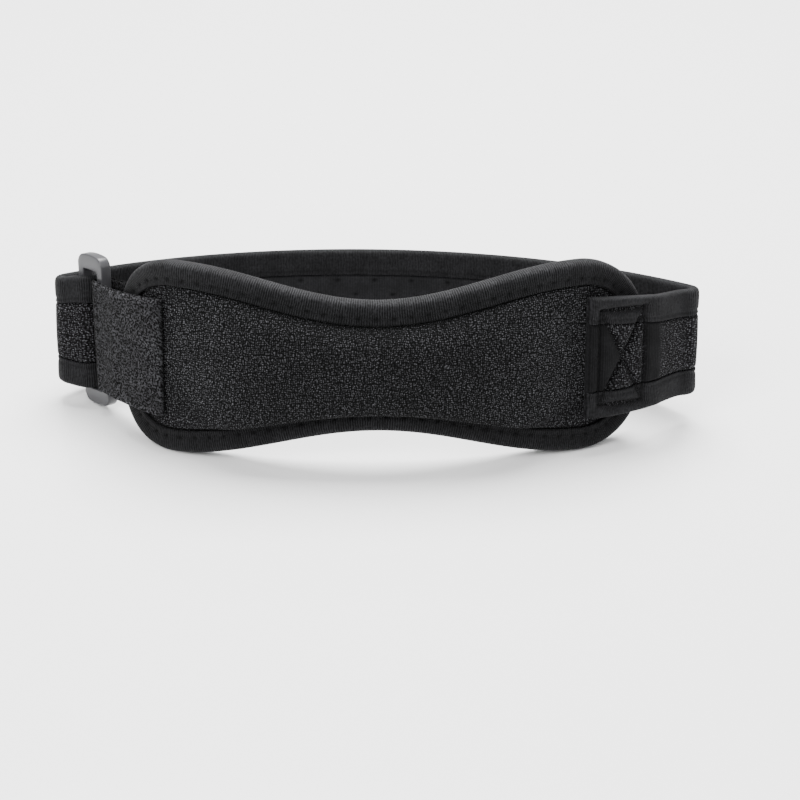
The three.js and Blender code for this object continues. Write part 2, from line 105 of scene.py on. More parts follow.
PANEL_OUT = GAP / 2 + PANEL_THICKNESS
PAD_OUT = PANEL_OUT + GAP + PAD_BINDING_WALL
STRAP_OVER_PAD = PAD_OUT + GAP + STRAP_THICKNESS / 2
TAPE_OVER_PAD = PAD_OUT + GAP + TAPE_THICKNESS / 2
STRAP_WRAP = RING_THICKNESS / 2 + BAR_CLEARANCE + STRAP_THICKNESS / 2
TAPE_WRAP = RING_THICKNESS / 2 + BAR_CLEARANCE + TAPE_THICKNESS / 2
LOBE_AT = PAD_LENGTH / 2 - LOBE_RADIUS
LOBE_CENTRE = PAD_HEIGHT / 2 - LOBE_RADIUS
FOLD_X = LOOP_WIDTH / 2 - STRAP_THICKNESS / 2 - FOLD_RADIUS

# Sizes that only the looks have.
CLOTH_STEP = 0.5
BINDING_STEP = 0.55
PAD_SEAM_DEPTH = 4.9
PAD_STITCH = 4.7
STRAP_SEAM_DEPTH = 6.7
END_SLOPE = 3.4
BOX_START = 3.4
BOX_END = 18.4
BOX_HALF_HEIGHT = 14.4
BOX_STITCH = 2.6
DIP_LENGTH = 6.5
QUILT_DEPTH = 0.42
QUILT_WIDTH = 0.95
PUFF_HEIGHT = 0.14
PUFF_WIDTH = 2.2
TAPE_STEP = 0.45
WAVE_COUNT = 9
WAVE_LENGTHS = (7, 19)
PIT_RADIUS = 0.75
PIT_SINK = 0.45
PIT_DEPTHS = (9.6, 14.3, 19.0, 23.7)
PIT_PITCH = 12.0
THREAD_RADIUS = 0.17
THREAD_SECTIONS = 6
THREAD_SIDES = 6
THREAD_SINK = 0.08
THREAD_LIFT = 0.05
STRAP_FLAP_FOLD = 1.7
PAD_FLAP_FOLD = 2.1
JUST_SHORT = 0.01
KNIT_CELL = (0.62, 0.66)
KNIT_PULL = 1.5
PULL_LENGTH = 3.4
JERSEY_PITCH = 0.55
PAD_RIB_PITCH = 0.68
STRAP_RIB_PITCH = 0.5
PILE_TUFT = 0.62
MOTTLE_LENGTH = 6.0


def smooth(x):
    """Rises from 0 to 1 with x: three x squared less two x cubed."""
    x = np.clip(x, 0, 1)
    return x * x * (3 - 2 * x)


def bump(distance, width):
    """A bell: e to the power of minus the square of distance over width."""
    return np.exp(-(distance / width) ** 2)


# The loop's plan

def side_of_loop(shoulder, heading, run, fold_out, fold_back):
    """One side of the plan as arcs that touch: front, shoulder and straight run. The fold's middle
    lies fold_out and fold_back from the run's end, and the front arc turns until that is FOLD_X
    from the middle. An arc is its radius, its length and, if it isn't the last one's end, its start."""
    across = shoulder * sin(heading) + run * cos(heading) + fold_out
    front = asin((FOLD_X - across) / (FRONT_RADIUS - shoulder))
    fold_y = (FRONT_RADIUS * (1 - cos(front)) + shoulder * (cos(front) - cos(heading))
              + run * sin(heading) + fold_back)
    arcs = [(FRONT_RADIUS, FRONT_RADIUS * front, None), (shoulder, shoulder * (heading - front), None),
            (inf, run, None)]
    run_end = sum(length for _, length, _ in arcs)
    return {"arcs": arcs, "fold_y": fold_y, "fold_heading": heading, "run_end": run_end,
            "fold_start": run_end}


def add_left_fold(left):
    """Adds the strap's straight way from its turn round the bar to the fold: the line that touches
    both rounds."""
    apart = sqrt(FOLD_PAST_BAR ** 2 + FOLD_BEHIND_BAR ** 2)
    heading = atan2(FOLD_BEHIND_BAR, FOLD_PAST_BAR) + asin((STRAP_WRAP - FOLD_RADIUS) / apart)
    length = sqrt(apart ** 2 - (STRAP_WRAP - FOLD_RADIUS) ** 2)
    start = (FOLD_X - FOLD_PAST_BAR + STRAP_WRAP * sin(heading),
             left["fold_y"] - FOLD_BEHIND_BAR - STRAP_WRAP * cos(heading), heading)
    left["arcs"].append((inf, length, start))
    left["fold_start"] += length
    left["fold_heading"] = heading


def add_back(left, right):
    """Adds each side's fold and half of the back, one arc that touches both folds and reaches
    LOOP_DEPTH. Its radius is LOOP_DEPTH less its centre's y, and each fold that it touches gives
    that y as a square of the centre's x, so both together give x."""
    reach = LOOP_DEPTH - FOLD_RADIUS
    scale_r, scale_l = (1 / (2 * (side["fold_y"] - reach)) for side in (right, left))
    rest_r, rest_l = (FOLD_X ** 2 + side["fold_y"] ** 2 - reach ** 2 for side in (right, left))
    square = scale_r - scale_l
    linear = -2 * FOLD_X * (scale_r + scale_l)
    constant = scale_r * rest_r - scale_l * rest_l
    centre_x = -2 * constant / (linear + sqrt(linear ** 2 - 4 * square * constant))
    centre_y = scale_r * (centre_x ** 2 - 2 * FOLD_X * centre_x + rest_r)
    radius = LOOP_DEPTH - centre_y
    for side, x in ((right, FOLD_X), (left, -FOLD_X)):
        half_turn = atan2(abs(x - centre_x), side["fold_y"] - centre_y)
        turn = pi - half_turn - side["fold_heading"]
        side["arcs"] += [(FOLD_RADIUS, FOLD_RADIUS * turn, None), (radius, radius * half_turn, None)]
        side["fold_end"] = side["fold_start"] + FOLD_RADIUS * turn
        side["length"] = side["fold_end"] + radius * half_turn
        side["widest"] = side["fold_start"] + FOLD_RADIUS * (pi / 2 - side["fold_heading"])


RIGHT = side_of_loop(RIGHT_SHOULDER_RADIUS, RIGHT_HEADING, RIGHT_RUN,
                     -FOLD_RADIUS * sin(RIGHT_HEADING), FOLD_RADIUS * cos(RIGHT_HEADING))
LEFT = side_of_loop(LEFT_SHOULDER_RADIUS, LEFT_HEADING, TAPE_BRIDGE + RING_WIDTH - RING_BAR / 2,
                    FOLD_PAST_BAR, FOLD_BEHIND_BAR)
add_left_fold(LEFT)
add_back(LEFT, RIGHT)
STRAP_BAR = -LEFT["run_end"]
TAPE_BAR = STRAP_BAR + RING_WIDTH - RING_BAR


def plan(s, t=0.0):
    """The plan's points at s along the middle line and t out of it: each arc is followed for as
    much of s as is left, and the point is moved t along the outward direction."""
    s, t = np.broadcast_arrays(np.asarray(s, float), np.asarray(t, float))
    made = np.zeros(s.shape + (2,))
    for sign, side in ((1, RIGHT), (-1, LEFT)):
        rest = np.maximum(sign * s, 0)
        x, y, heading = np.zeros((3,) + s.shape)
        for radius, length, start in side["arcs"]:
            if start:
                begun = rest > ROUNDING
                x, y, heading = (np.where(begun, new, old) for new, old in zip(start, (x, y, heading)))
            step = np.minimum(rest, length)
            if radius == inf:
                x, y = x + step * np.cos(heading), y + step * np.sin(heading)
            else:
                turned = heading + step / radius
                x = x + radius * (np.sin(turned) - np.sin(heading))
                y = y + radius * (np.cos(heading) - np.cos(turned))
                heading = turned
            rest = rest - step
        point = np.stack([sign * (x + np.sin(heading) * t), y - np.cos(heading) * t], axis=-1)
        here = (s >= 0) if sign > 0 else (s < 0)
        made = np.where(here[..., None], point, made)
    return made


def loop_points(s, t, z):
    """Points in space from s along the loop, t out of it and z up."""
    flat = plan(s, t)
    return np.concatenate([flat, np.broadcast_to(z, flat.shape[:-1])[..., None]], axis=-1)


def pad_half_height(s, inset=0.0):
    """Half the pad's height at s: a cosine wave between the lobes and a circle past them."""
    along = np.abs(s)
    swing = (PAD_HEIGHT - WAIST_HEIGHT) / 4
    phase = pi * np.minimum(along, LOBE_AT) / LOBE_AT
    slope = swing * pi / LOBE_AT * np.sin(phase)
    waist = WAIST_HEIGHT / 2 + swing * (1 - np.cos(phase)) - inset * np.hypot(1, slope)
    past = np.maximum(along - LOBE_AT, 0)
    lobe = LOBE_CENTRE + np.sqrt(np.maximum((LOBE_RADIUS - inset) ** 2 - past ** 2, 0))
    return np.where(along > LOBE_AT, lobe, waist)


def pad_columns(inset, step):
    """Values of s along the pad, in steps of one length along its outline."""
    flat = np.arange(0, LOBE_AT, step)
    turn = np.linspace(0, pi / 2, int(pi / 2 * LOBE_RADIUS / step))
    half = np.concatenate([flat, LOBE_AT + (LOBE_RADIUS - inset) * np.sin(turn)])
    return np.concatenate([-half[:0:-1], half])


def flip(rows, across, up):
    """Rows of s, z and a direction, mirrored where across or up is -1."""
    return rows * np.array([across, up, across, up])[:, None]


def pad_outline(step):
    """Even stations round the pad's outline as rows of s, z and the inward direction. A quarter
    is a circle's quarter and half a cosine wave, and it is mirrored three times."""
    turn = np.linspace(0, pi / 2, 200)
    corner = np.stack([LOBE_AT + LOBE_RADIUS * np.cos(turn), LOBE_CENTRE + LOBE_RADIUS * np.sin(turn),
                       -np.cos(turn), -np.sin(turn)])
    s = np.linspace(LOBE_AT, 0, 400)[1:]
    slope = (PAD_HEIGHT - WAIST_HEIGHT) / 4 * pi / LOBE_AT * np.sin(pi * s / LOBE_AT)
    unit = np.hypot(1, slope)
    quarter = np.concatenate([corner, np.stack([s, pad_half_height(s), slope / unit, -1 / unit])], axis=1)
    outline = np.concatenate([quarter, flip(quarter[:, -2::-1], -1, 1), flip(quarter, -1, -1),
                              flip(quarter[:, -2::-1], 1, -1), quarter[:, :1]], axis=1)
    length = np.concatenate([[0], np.cumsum(np.hypot(*np.diff(outline[:2], axis=1)))])
    even = np.linspace(0, length[-1], int(length[-1] / step))
    return even, np.stack([np.interp(even[:-1], length, row) for row in outline])


def round_the_pad(outline, t, depth):
    """Points of a section carried round the pad's outline, t out of the pad's middle face and depth
    in from its edge."""
    s, z, in_s, in_z = outline[:, :, None]
    return loop_points(s + in_s * depth, t, z + in_z * depth)


# How the loop lies

def rest_turn():
    """The turn that lays the loop down: the plane through the lowest point of each lobe and of
    the strap's back is made level, again and again until it stays so."""
    bend = np.linspace(0, pi, 9)
    _, outline = pad_outline(1.0)
    depth = PAD_BINDING_ROUND * (1 - np.sin(bend))
    out = (PAD_OUT - PAD_BINDING_ROUND) * np.sign(np.cos(bend)) + PAD_BINDING_ROUND * np.cos(bend)
    lobes = round_the_pad(outline, out, depth).reshape(-1, 3)
    half = STRAP_THICKNESS / 2 - STRAP_BINDING_ROUND
    behind = np.linspace(-LEFT["length"], -LEFT["fold_end"], 200)
    edge = half * np.sign(np.cos(bend)) + STRAP_BINDING_ROUND * np.cos(bend)
    back = loop_points(behind[:, None], edge[None],
                       STRAP_BINDING_ROUND * (1 - np.sin(bend))[None] - STRAP_HEIGHT / 2)
    parts = [lobes[lobes[:, 0] < 0], lobes[lobes[:, 0] > 0], back.reshape(-1, 3)]
    turn = np.eye(3)
    for _ in range(8):
        left, right, rear = (turn @ part[np.argmin(part @ turn[2])] for part in parts)
        normal = Vector(np.cross(right - left, rear - left)).normalized()
        turn = np.array(normal.rotation_difference(Vector((0, 0, 1))).to_matrix()) @ turn
    return turn


TURN = rest_turn()


def panel_points(s):
    """The inner panel's section at each s: a flat strip between two faces."""
    half = pad_half_height(s, EDGE_INSET)[:, None]
    z = half * np.array([-1, -1, 1, 1])
    return loop_points(s[:, None], np.array([-PANEL_OUT, -GAP / 2, -GAP / 2, -PANEL_OUT]), z)


def box_middle(points):
    """The middle of the box round points."""
    return (points.reshape(-1, 3).min(0) + points.reshape(-1, 3).max(0)) / 2


SHIFT = (np.array(sum(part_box("inner_panel"), Vector())) / 2 / MM
         - box_middle(panel_points(pad_columns(EDGE_INSET, 0.5)) @ TURN.T))


def laid(points):
    """Points of the loop, turned and moved to where it lies, in metres, none under the ground."""
    placed = points @ TURN.T + SHIFT
    placed[..., 2] = np.maximum(placed[..., 2], 0)
    return placed * MM


# The camera and the light

def aim(thing, place, target, roll=0.0):
    """Puts a camera or light at place, turned to look at target."""
    way = (Vector(target) - Vector(place)).normalized()
    turn = way.to_track_quat("-Z", "Y").to_matrix() @ Matrix.Rotation(roll, 3, "Z")
    thing.matrix_world = Matrix.Translation(place) @ turn.to_4x4()


CAMERA_DISTANCE = 650
CAMERA_RISE = radians(16.7)
CAMERA_SWING = radians(1.4)
CAMERA_ROLL = radians(0.15)
FOCAL_PIXELS = 2236
PICTURE = 800
AIM_PIXEL = (377, 365.5)

camera = bpy.data.objects.new("camera", bpy.data.cameras.new("camera"))
bpy.context.scene.collection.objects.link(camera)
bpy.context.scene.camera = camera
camera.data.sensor_width = 36
camera.data.lens = FOCAL_PIXELS / PICTURE * camera.data.sensor_width
camera.data.shift_x = 0.5 - AIM_PIXEL[0] / PICTURE
camera.data.shift_y = AIM_PIXEL[1] / PICTURE - 0.5
camera.data.clip_start = 0.01
camera.data.clip_end = 50
pad_front = (np.zeros(3) @ TURN.T + SHIFT) * MM
sight = TURN @ np.array([sin(CAMERA_SWING) * cos(CAMERA_RISE), cos(CAMERA_SWING) * cos(CAMERA_RISE),
                         -sin(CAMERA_RISE)])
upright = TURN @ np.array([sin(CAMERA_SWING) * sin(CAMERA_RISE), cos(CAMERA_SWING) * sin(CAMERA_RISE),
                           cos(CAMERA_RISE)])
sideways = np.cross(sight, upright)
stand = pad_front - sight * CAMERA_DISTANCE * MM
facing = Matrix(np.stack([sideways, upright, -sight], axis=1)).to_4x4()
camera.matrix_world = Matrix.Translation(stand) @ facing @ Matrix.Rotation(CAMERA_ROLL, 4, "Z")


def softbox(name, place, target, size, power):
    """A square lamp that shines at target."""
    lamp = bpy.data.lights.new(name, "AREA")
    lamp.shape = "SQUARE"
    lamp.size = size
    lamp.energy = power
    light = bpy.data.objects.new(name, lamp)
    bpy.context.scene.collection.objects.link(light)
    aim(light, place, target)


middle = (0.0, 0.0, 0.03)
softbox("key", (-0.6, -0.7, 0.85), middle, 0.6, 16)
softbox("fill", (0.8, -0.55, 0.7), middle, 0.9, 3)
softbox("top", (0.05, 0.45, 1.0), middle, 0.7, 50)
world = bpy.data.worlds.new("studio")
bpy.context.scene.world = world
world.use_nodes = True
world.node_tree.nodes["Background"].inputs["Color"].default_value = (1, 1, 1, 1)
world.node_tree.nodes["Background"].inputs["Strength"].default_value = 1.03


# The materials

def add(tree, kind, inputs=None, **settings):
    """Adds a node with its settings, and links or sets its inputs."""
    made = tree.nodes.new(kind)
    for key, value in settings.items():
        setattr(made, key, value)
    for key, value in (inputs or {}).items():
        if isinstance(value, bpy.types.NodeSocket):
            tree.links.new(value, made.inputs[key])
        else:
            made.inputs[key].default_value = value
    return made


def maths(tree, operation, *values):
    """The result of one sum on numbers or sockets."""
    return add(tree, "ShaderNodeMath", dict(enumerate(values)), operation=operation).outputs[0]


def remap(tree, value, low, high, start=0.0, end=1.0):
    """A smooth step from start to end as value goes from low to high."""
    return add(tree, "ShaderNodeMapRange", {"Value": value, "From Min": low, "From Max": high,
               "To Min": start, "To Max": end}, interpolation_type="SMOOTHSTEP").outputs[0]


def grain(tree, vector, length, detail=2.0):
    """Noise whose patches are about length mm across, from 0 to 1."""
    return add(tree, "ShaderNodeTexNoise", {"Vector": vector, "Scale": 1 / length, "Detail": detail},
               noise_dimensions="2D").outputs[0]


def loops_pattern(tree, cloth):
    """Knit loops: round tops on a lattice of cells that noise pulls out of line, some of them
    lower than others."""
    pull = add(tree, "ShaderNodeTexNoise", {"Vector": cloth, "Scale": 1 / PULL_LENGTH, "Detail": 1.0},
               noise_dimensions="2D").outputs["Color"]
    pulled = add(tree, "ShaderNodeVectorMath", {0: pull, 1: (KNIT_PULL, KNIT_PULL, 0), 2: cloth},
                 operation="MULTIPLY_ADD").outputs[0]
    cells = add(tree, "ShaderNodeMapping", {
        "Vector": pulled, "Scale": (1 / KNIT_CELL[0], 1 / KNIT_CELL[1], 1)}).outputs[0]
    near = add(tree, "ShaderNodeTexVoronoi", {"Vector": cells, "Scale": 1.0, "Randomness": 0.5},
               voronoi_dimensions="2D").outputs["Distance"]
    tops = remap(tree, near, 0.05, 0.5, 1.0, 0.0)
    return maths(tree, "MULTIPLY", tops, remap(tree, grain(tree, cloth, 0.8, 1.0), 0.4, 0.58, 0.12, 1.0))


def wales_pattern(tree, cloth):
    """Jersey: fine upright ridges, a sine of the length along, softened by noise."""
    along = add(tree, "ShaderNodeSeparateXYZ", {0: cloth}).outputs[0]
    ridges = maths(tree, "SINE", maths(tree, "MULTIPLY", along, 2 * pi / JERSEY_PITCH))
    return remap(tree, maths(tree, "ADD", maths(tree, "MULTIPLY", ridges, 0.35), grain(tree, cloth, 0.7)),
                 0.0, 1.1)


def ribs_pattern(tree, cloth, pitch=PAD_RIB_PITCH):
    """Ribs across a binding: a sine of the length along, pushed aside and faded by noise."""
    along = add(tree, "ShaderNodeSeparateXYZ", {0: cloth}).outputs[0]
    pushed = maths(tree, "ADD", along, maths(tree, "MULTIPLY", grain(tree, cloth, 2.6), 0.5))
    ridges = maths(tree, "SINE", maths(tree, "MULTIPLY", pushed, 2 * pi / pitch))
    ribs = maths(tree, "MULTIPLY", ridges, remap(tree, grain(tree, cloth, 2.0), 0.3, 0.6, 0.15, 0.5))
    return remap(tree, maths(tree, "ADD", ribs, grain(tree, cloth, 0.8)), 0.0, 1.0)


def fine_ribs_pattern(tree, cloth):
    """The strap bindings' finer ribs."""
    return ribs_pattern(tree, cloth, STRAP_RIB_PITCH)


def pile_pattern(tree, cloth):
    """Brushed pile: tufts of several sizes of noise, made steeper."""
    tufts = grain(tree, cloth, PILE_TUFT, 2.0)
    return remap(tree, maths(tree, "ADD", maths(tree, "MULTIPLY", tufts, 0.75),
                             maths(tree, "MULTIPLY", grain(tree, cloth, 1.9), 0.25)), 0.43, 0.59)


def grey(value):
    """A colour of nearly equal parts, slightly blue, as black textile is."""
    return (value, value, value * 1.08, 1)


def blend(tree, factor, first, second, kind="MIX"):
    """Two colours mixed, or multiplied, by factor."""
    return add(tree, "ShaderNodeMix", {0: factor, 6: first, 7: second}, data_type="RGBA",
               blend_type=kind).outputs[2]


def fabric(name, layers, roughness, sheen):
    """A cloth. Each layer is (pattern, hollow grey, top grey, relief in mm); a second layer shows
    where the attribute inner is 1. The colour runs from the hollow grey to the top grey with the
    pattern's height, which paints shade into the hollows. The attribute shade multiplies the
    colour; it holds painted light and shade, and some changes of tone."""
    material = bpy.data.materials.new(name)
    material.use_nodes = True
    tree = material.node_tree
    shader = tree.nodes["Principled BSDF"]
    cloth = add(tree, "ShaderNodeUVMap", uv_map="cloth").outputs[0]
    mottle = remap(tree, grain(tree, cloth, MOTTLE_LENGTH), 0.3, 0.7, 0.82, 1.12)
    made = []
    for pattern, hollow, top, relief in layers:
        height = pattern(tree, cloth)
        made.append((blend(tree, height, grey(hollow), grey(top)), maths(tree, "MULTIPLY", height, relief)))
    colour, height = made[0]
    if len(made) > 1:
        inner = add(tree, "ShaderNodeAttribute", attribute_name="inner").outputs["Fac"]
        colour = blend(tree, inner, colour, made[1][0])
        height = add(tree, "ShaderNodeMix", {0: inner, 2: height, 3: made[1][1]}).outputs[0]
    shade = add(tree, "ShaderNodeAttribute", attribute_name="shade").outputs["Fac"]
    colour = blend(tree, 1.0, colour, maths(tree, "MULTIPLY", shade, mottle), "MULTIPLY")
    tree.links.new(colour, shader.inputs["Base Color"])
    raised = add(tree, "ShaderNodeBump", {"Height": height, "Strength": 1.0, "Distance": MM})
    tree.links.new(raised.outputs[0], shader.inputs["Normal"])
    shader.inputs["Roughness"].default_value = roughness
    shader.inputs["Specular IOR Level"].default_value = 0.07
    shader.inputs["Sheen Weight"].default_value = sheen
    shader.inputs["Sheen Roughness"].default_value = 0.45
    return material


def plastic():
    """Moulded plastic: dark grey, with a satin gloss that is slightly uneven."""
    material = bpy.data.materials.new("moulded_plastic")
    material.use_nodes = True
    tree = material.node_tree
    shader = tree.nodes["Principled BSDF"]
    place = add(tree, "ShaderNodeTexCoord").outputs["Object"]
    skin = add(tree, "ShaderNodeTexNoise", {"Vector": place, "Scale": 700.0, "Detail": 2.0}).outputs[0]
    tree.links.new(blend(tree, skin, grey(0.035), grey(0.04)), shader.inputs["Base Color"])
    tree.links.new(remap(tree, skin, 0.3, 0.7, 0.3, 0.36), shader.inputs["Roughness"])
    shader.inputs["Specular IOR Level"].default_value = 0.38
    return material


# Each pattern below goes from a hollow grey to a top grey: the dark hollows are painted shade.
KNIT = (loops_pattern, 0.0004, 0.078, 0.45)
JERSEY = (wales_pattern, 0.0065, 0.015, 0.07)
knit_cloth = fabric("looped_knit", [KNIT, JERSEY], 0.85, 0.015)
jersey_cloth = fabric("lining_jersey", [JERSEY], 0.9, 0.03)
pad_binding_cloth = fabric("ribbed_binding", [(ribs_pattern, 0.001, 0.0142, 0.15)], 0.7, 0.02)
strap_binding_cloth = fabric("strap_binding", [(fine_ribs_pattern, 0.0025, 0.0165, 0.09)], 0.75, 0.015)
pile_cloth = fabric("brushed_pile", [(pile_pattern, 0.001, 0.034, 0.45)], 1.0, 0.02)
thread_cloth = fabric("sewing_thread", [(wales_pattern, 0.003, 0.01, 0.02)], 0.6, 0.03)
plastic_skin = plastic()


# How a mesh is made

def make_mesh(name, vertices, corners, counts, cloth, material, attributes):
    """A mesh object from flat arrays: corner indices, corners per face, cloth place per corner,
    and named numbers per vertex."""
    mesh = bpy.data.meshes.new(name)
    mesh.vertices.add(len(vertices))
    mesh.vertices.foreach_set("co", vertices.astype(np.float32).ravel())
    mesh.loops.add(len(corners))
    mesh.loops.foreach_set("vertex_index", corners.astype(np.int32))
    mesh.polygons.add(len(counts))
    mesh.polygons.foreach_set("loop_start", np.concatenate([[0], np.cumsum(counts)[:-1]]).astype(np.int32))
    mesh.polygons.foreach_set("loop_total", counts.astype(np.int32))
    mesh.polygons.foreach_set("use_smooth", counts == 4)
    mesh.uv_layers.new(name="cloth").data.foreach_set("uv", cloth.astype(np.float32).ravel())
    for key, values in attributes.items():
        layer = mesh.attributes.new(key, "FLOAT", "POINT")
        layer.data.foreach_set("value", values.astype(np.float32).ravel())
    mesh.update(calc_edges=True)
    mesh.validate()
    mesh.materials.append(material)
    piece = bpy.data.objects.new(name, mesh)
    bpy.context.scene.collection.objects.link(piece)
    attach(piece, "root")
    return piece


def corners_of(grid):
    """The four corners of each cell of a grid, in turn round the cell."""
    return np.stack([grid[:-1, :-1], grid[1:, :-1], grid[1:, 1:], grid[:-1, 1:]], axis=2)


def sleeve(name, points, along, material, zero=0, closed=False, **attributes):
    """The surface through the sections points[i], each closed on itself. Its cloth place is along
    and the length round the section from point number zero. It closes on itself along too, or
    has a face at each end. Faces are turned outwards by the sign of the volume that they hold."""
    rows, columns = points.shape[:2]
    index = np.arange(rows * columns).reshape(rows, columns)
    index = np.concatenate([index, index[:, :1]], axis=1)
    if closed:
        index = np.concatenate([index, index[:1]])
    vertices = points.reshape(-1, 3)
    steps = np.linalg.norm(np.diff(vertices[index], axis=1), axis=2) / MM
    across = np.concatenate([np.zeros((len(index), 1)), np.cumsum(steps, axis=1)], axis=1)
    across -= across[:, zero:zero + 1]
    flow = np.stack([np.broadcast_to(along[:, None], across.shape), across], axis=-1)
    faces = corners_of(index).reshape(-1, 4)
    cloth = corners_of(flow).reshape(-1, 4, 2)
    a, b, c, d = (vertices[faces[:, k]] for k in range(4))
    volume = np.sum(np.cross(a, b) * c) + np.sum(np.cross(a, c) * d)
    ends = [] if closed else [(index[0, :-1], flow[0, :-1]), (index[-1, -2::-1], flow[-1, -2::-1])]
    if volume < 0:
        faces, cloth = faces[:, ::-1], cloth[:, ::-1]
        ends = [(corners[::-1], places[::-1]) for corners, places in ends]
    return make_mesh(
        name, vertices, np.concatenate([faces.ravel()] + [corners for corners, _ in ends]),
        np.array([4] * len(faces) + [len(corners) for corners, _ in ends]),
        np.concatenate([cloth.reshape(-1, 2)] + [places for _, places in ends]), material, attributes)


def arc_length(flat):
    """The length from the first point to each point of a line."""
    return np.concatenate([[0], np.cumsum(np.linalg.norm(np.diff(flat, axis=0), axis=1))])


# The pad

def make_inner_panel():
    """The pad's inner layer: a flat strip whose height follows the pad's outline."""
    s = pad_columns(EDGE_INSET, 1.0)
    rows = 41
    share = np.linspace(-1, 1, rows)
    half = pad_half_height(s, EDGE_INSET)[:, None]
    z = half * np.concatenate([share, share[::-1]])
    t = np.repeat([-PANEL_OUT, -GAP / 2], rows)
    return sleeve("lining_panel", laid(loop_points(s[:, None], t, z)), s, jersey_cloth,
                  zero=rows // 2, shade=np.ones_like(z))


def cushion_at(s):
    """How full the cushion is and how far it lifts the cover: smooth steps at its two ends."""
    along = np.abs(s)
    flush = PAD_OUT - PANEL_OUT
    inside = PAD_LENGTH / 2 - PAD_BINDING_WIDTH - GAP
    cushion_end = PAD_LENGTH / 2 - CUSHION_END
    full = smooth((cushion_end - along) / CUSHION_SLOPE)
    end = smooth((inside - along) / (inside - cushion_end))
    return full, flush * end + (CUSHION_RISE - flush) * full


# Creases of the cover: where each starts and ends, in mm along and up, its depth and width.
CREASES = np.array([
    # s0,   z0,    s1,   z1,   depth, width
    (-9.0, -14.2, 8.0, -14.6, 0.35, 0.8),
    (-6.0, -12.4, 5.0, -12.6, 0.25, 0.7),
    (-58.0, 13.0, -49.0, 16.5, 0.3, 1.4),
    (-58.0, -13.0, -50.0, -18.0, 0.3, 1.4),
    (58.5, 15.0, 50.0, 17.0, 0.3, 1.4),
    (58.5, -15.5, 49.0, -19.0, 0.35, 1.5),
])


def line_distance(s, z, start, end):
    """The distance from (s, z) to the straight line from start to end."""
    way = np.subtract(end, start)
    share = np.clip(((s - start[0]) * way[0] + (z - start[1]) * way[1]) / (way @ way), 0, 1)
    return np.hypot(s - start[0] - share * way[0], z - start[1] - share * way[1])


def waves(s, z, seed=5):
    """An uneven surface between -1 and 1: the mean of sine waves in seeded directions."""
    draw = np.random.default_rng(seed)
    turns = draw.uniform(0, pi, WAVE_COUNT)
    lengths = draw.uniform(*WAVE_LENGTHS, WAVE_COUNT)
    phases = draw.uniform(0, 2 * pi, WAVE_COUNT)
    total = 0
    for turn, length, phase in zip(turns, lengths, phases):
        total = total + np.sin((s * cos(turn) + z * sin(turn)) * 2 * pi / length + phase)
    return total / WAVE_COUNT


def make_cover():
    """The knit cover with the cushion under it. Across, the cushion is half an ellipse whose lower
    side a wave, cosine squared times sine, draws down; creases and waves are taken off it."""
    s = pad_columns(EDGE_INSET, CLOTH_STEP)[:, None]
    edge = pad_half_height(s, EDGE_INSET)
    cushion = np.minimum(pad_half_height(s, PAD_BINDING_WIDTH + GAP), edge - COVER_RIM)
    full, rise = cushion_at(s)
    rows = 97
    angle = np.linspace(-pi / 2, pi / 2, rows)[None]
    sag = 3 * sqrt(3) / 2 * np.cos(angle) ** 2 * np.minimum(0, np.sin(angle))
    z = cushion * np.sin(angle) + CUSHION_SAG * full * sag
    t = PANEL_OUT + rise * np.cos(angle)
    lift = np.cos(angle) * (0.3 + 0.7 * full)
    dents = sum(depth * bump(line_distance(s, z, (s0, z0), (s1, z1)), width)
                for s0, z0, s1, z1, depth, width in CREASES)
    t = t + lift * (0.32 * waves(s, z) - dents)
    # Painted light and shade: the cover is lighter towards both ends, darker in its creases, and darker
    # along its upper and lower edges, where it meets the binding.
    shade = (0.85 + 0.4 * smooth((np.abs(s) - 25) / 30)) * (1 - 0.25 * np.clip(dents / 0.35, 0, 1))
    shade = shade * (1 - 0.55 * bump(1 - np.abs(np.sin(angle)), 0.012))
    column = np.ones_like(s)
    rim = column * PANEL_OUT
    points_t = np.concatenate([rim - PANEL_THICKNESS, rim, t, rim, rim - PANEL_THICKNESS], axis=1)
    points_z = np.concatenate([-edge, -edge, z, edge, edge], axis=1)
    shades = np.concatenate([column, column, shade, column, column], axis=1)
    piece = sleeve("knit_cover", laid(loop_points(s, points_t, points_z)), s[:, 0], knit_cloth,
                   zero=2 + rows // 2, shade=shades, inner=0 * shades)
    return piece


def folded_section(out_half, width, wall, fold, flap_points, fold_points):
    """The section of a strip folded over an edge, as rows of across, depth and skin: two flaps,
    a flattened half circle between them, and the same inside. Skin is 1 on the front's face,
    -1 on the back's and 0 inside."""
    flap = np.linspace(width - wall / 2, fold, flap_points)
    bend = np.linspace(0, pi, fold_points)[1:-1]
    round_out = out_half * np.sign(np.cos(bend)) * np.abs(np.cos(bend)) ** 0.7
    round_in = fold * (1 - np.sin(bend) ** 0.7)
    lip = np.linspace(0, pi, 5)[1:-1]
    lip_depth = width - wall / 2 + wall / 2 * np.sin(lip)
    lip_across = wall / 2 * (1 - np.cos(lip))
    inner = out_half - wall
    inside = [(-inner, width - wall / 2), (-inner, width / 2), (-inner, wall), (inner, wall),
              (inner, width / 2), (inner, width - wall / 2)]
    across = np.concatenate([np.full(flap_points, out_half), round_out, np.full(flap_points, -out_half),
                             -out_half + lip_across, [a for a, _ in inside], inner + lip_across])
    depth = np.concatenate([flap, round_in, flap[::-1], lip_depth, [d for _, d in inside], lip_depth[::-1]])
    skin = np.concatenate([np.ones(flap_points), np.sign(np.cos(bend)) * np.abs(np.cos(bend)) ** 2,
                           -np.ones(flap_points), np.zeros(2 * len(lip) + len(inside))])
    return across, depth, skin


def stitch_pitch(outline_length):
    """The pad binding's stitch: PAD_STITCH, made to go into the outline a whole number of times."""
    return outline_length / round(outline_length / PAD_STITCH)


